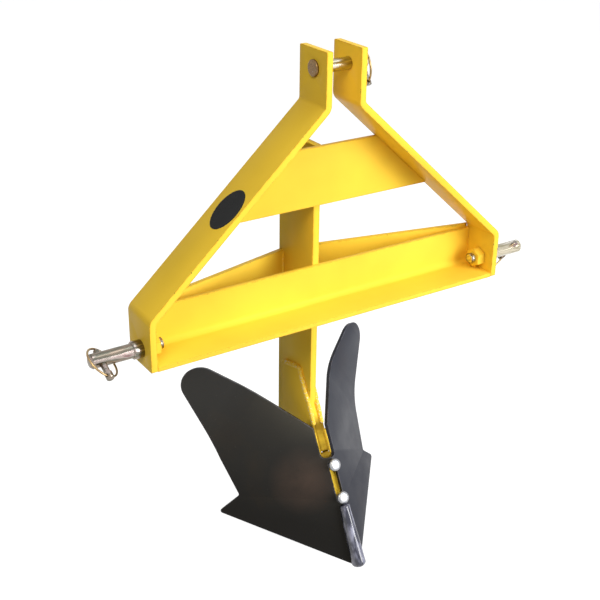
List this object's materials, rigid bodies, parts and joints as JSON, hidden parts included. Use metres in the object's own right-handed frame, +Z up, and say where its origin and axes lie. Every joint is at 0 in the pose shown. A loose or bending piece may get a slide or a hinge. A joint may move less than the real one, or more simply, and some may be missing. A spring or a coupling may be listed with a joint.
{
  "type": "three-point middle buster plough",
  "caption": "Middle buster plough: a bent-bar A-frame for a three-point hitch, an upright shank with braces, and a V-shaped double-wing bottom bolted to a frog.",
  "frame": {"origin": "midway between the two lower hitch pins, on their common axis", "axes": "+Z up, +X to the right and +Y to the rear, seen by someone standing in front of the hitch and facing the plough"},
  "size_m": [0.8179, 0.2856, 0.8564],
  "materials": {
    "yellow_paint": "gloss",
    "black_paint": "satin",
    "bright_zinc": "bright zinc plated",
    "yellow_zinc": "yellow zinc plated",
    "ring_wire": "yellow zinc plated spring wire"
  },
  "bodies": {
    "plough": {"mast_bar_left": "yellow_paint", "mast_bar_right": "yellow_paint", "angle_beam": "yellow_paint", "cross_plate": "yellow_paint", "shank": "yellow_paint", "brace_left": "yellow_paint", "brace_right": "yellow_paint", "frog_plate_left": "yellow_paint", "frog_plate_right": "yellow_paint", "bolt_bar": "yellow_paint", "wing_left": "black_paint", "wing_right": "black_paint", "nose_rib": "black_paint", "plough_bolt_lower": "bright_zinc", "plough_bolt_upper": "bright_zinc", "plough_nut_lower": "bright_zinc", "plough_nut_upper": "bright_zinc", "hitch_nut_left": "yellow_paint", "hitch_nut_right": "yellow_paint", "hitch_pin_left": "yellow_zinc", "hitch_pin_right": "yellow_zinc", "top_link_pin": "yellow_zinc", "linch_pin_left": "yellow_zinc", "linch_pin_right": "yellow_zinc", "linch_pin_top": "yellow_zinc"},
    "left_ring": {"linch_ring_left": "ring_wire"},
    "right_ring": {"linch_ring_right": "ring_wire"},
    "top_ring": {"linch_ring_top": "ring_wire"}
  },
  "joints": [
    {"name": "left_ring_hinge", "type": "hinge", "parent": "plough", "child": "left_ring", "pos_m": [-0.389, -0.02923, -0.01302], "axis": [-0.8192, -0.2333, 0.524], "range_deg": [0, 110]},
    {"name": "right_ring_hinge", "type": "hinge", "parent": "plough", "child": "right_ring", "pos_m": [0.389, 0.02141, -0.02378], "axis": [0.5446, 0.6233, 0.5612], "range_deg": [-40, 30]},
    {"name": "top_ring_hinge", "type": "hinge", "parent": "plough", "child": "top_ring", "pos_m": [0.048, -0.016, 0.34229], "axis": [0.1737, 0.8529, -0.4924], "range_deg": [0, 110]}
  ]
}
